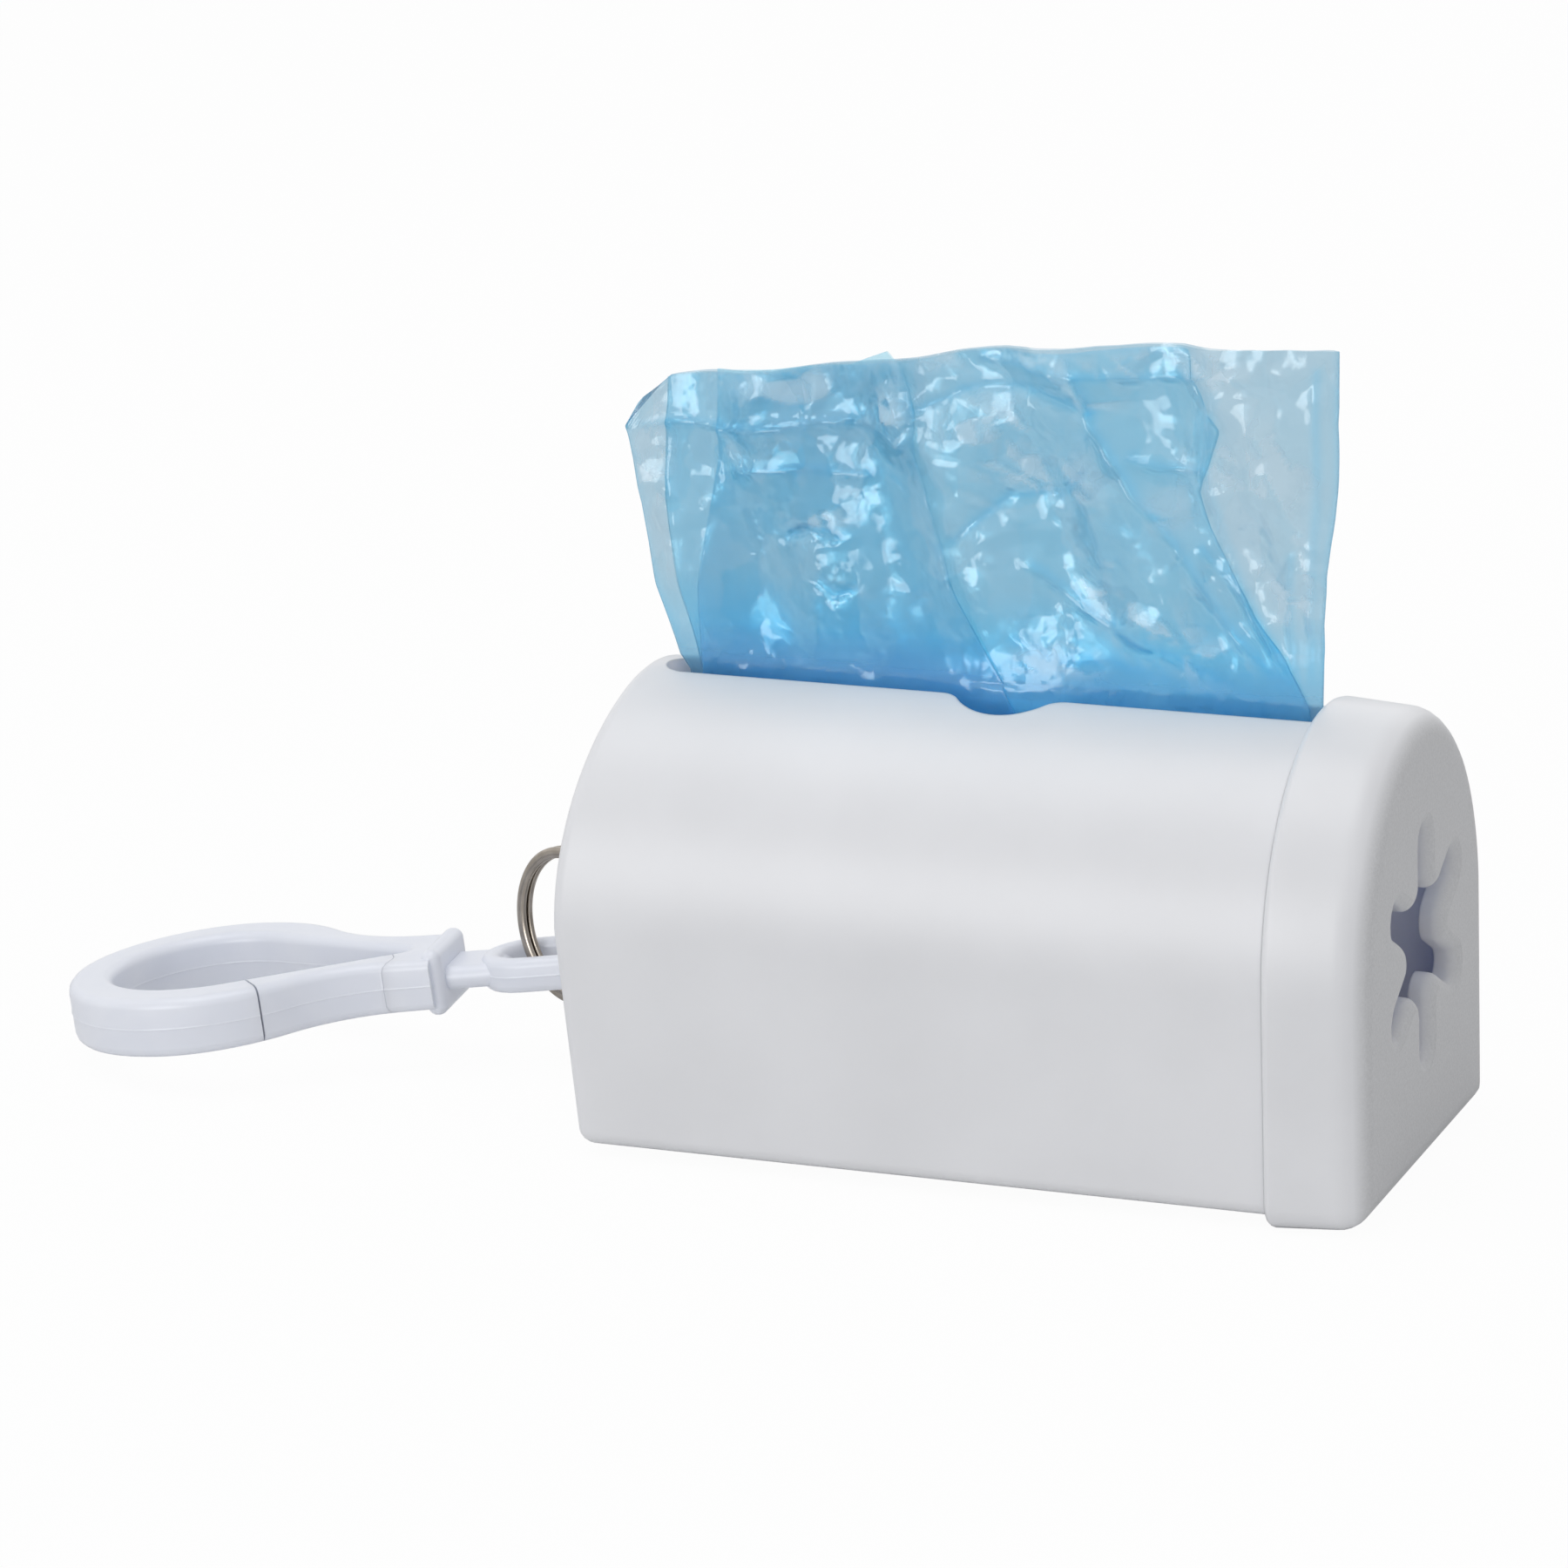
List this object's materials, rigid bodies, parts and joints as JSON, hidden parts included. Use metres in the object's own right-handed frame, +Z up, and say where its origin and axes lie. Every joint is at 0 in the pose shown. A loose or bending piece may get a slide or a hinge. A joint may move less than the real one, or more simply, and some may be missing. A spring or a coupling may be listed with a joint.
{
  "type": "dog waste bag dispenser",
  "caption": "Clip-on dispenser for a roll of dog waste bags: arched housing with a film slot, pull-off end cap with a lobed opening, split ring and snap hook.",
  "frame": {"origin": "centre of the housing's flat base, under the finger hole", "axes": "+X along the roll towards the end cap, +Z up through the film slot, -Y towards the picture's camera"},
  "size_m": [0.1494, 0.0426, 0.0833],
  "materials": {
    "white_plastic": "smooth moulded polypropylene, satin gloss",
    "satin_cap": "moulded polypropylene with a finely textured face",
    "card_core": "grey-brown rolled card",
    "wound_film": "wound polyethylene film, glossy",
    "bag_film": "thin translucent blue polyethylene film",
    "ring_steel": "nickel-plated spring steel",
    "hook_plastic": "smooth pale bluish acetal"
  },
  "bodies": {
    "shell": {"housing": "white_plastic"},
    "cap": {"end_cap": "satin_cap"},
    "roll": {"bag_roll": "wound_film", "roll_core": "card_core"},
    "bag": {"drawn_bag": "bag_film"},
    "ring": {"split_ring": "ring_steel"},
    "hook": {"snap_hook": "hook_plastic"},
    "gate": {"hook_gate": "hook_plastic"}
  },
  "joints": [
    {"name": "cap_pull", "type": "slide", "parent": "shell", "child": "cap", "axis": [1, 0, 0], "range_m": [0, 0.03]},
    {"name": "roll_spin", "type": "hinge", "parent": "shell", "child": "roll", "pos_m": [0, 0, 0.0183], "axis": [1, 0, 0], "range_deg": [0, 28]},
    {"name": "bag_pull", "type": "slide", "parent": "shell", "child": "bag", "axis": [0, 0, 1], "range_m": [0, 0.008]},
    {"name": "ring_swing", "type": "hinge", "parent": "shell", "child": "ring", "pos_m": [-0.0451, 0, 0.0166], "axis": [0, 0, 1], "range_deg": [-25, 45]},
    {"name": "hook_lift", "type": "hinge", "parent": "ring", "child": "hook", "pos_m": [-0.0506, 0.003, 0.0086], "axis": [-0.1564, 0.9877, 0], "range_deg": [-30, 4]},
    {"name": "gate_flex", "type": "hinge", "parent": "hook", "child": "gate", "pos_m": [-0.07195, -0.00207, 0.00818], "axis": [0.1225, -0.0283, -0.9921], "range_deg": [0, 20], "stiffness_Nm_per_rad": 0.01}
  ],
  "couplings": [
    {"joint": "bag_pull", "follows": "roll_spin", "m_per_rad": 0.0162}
  ]
}
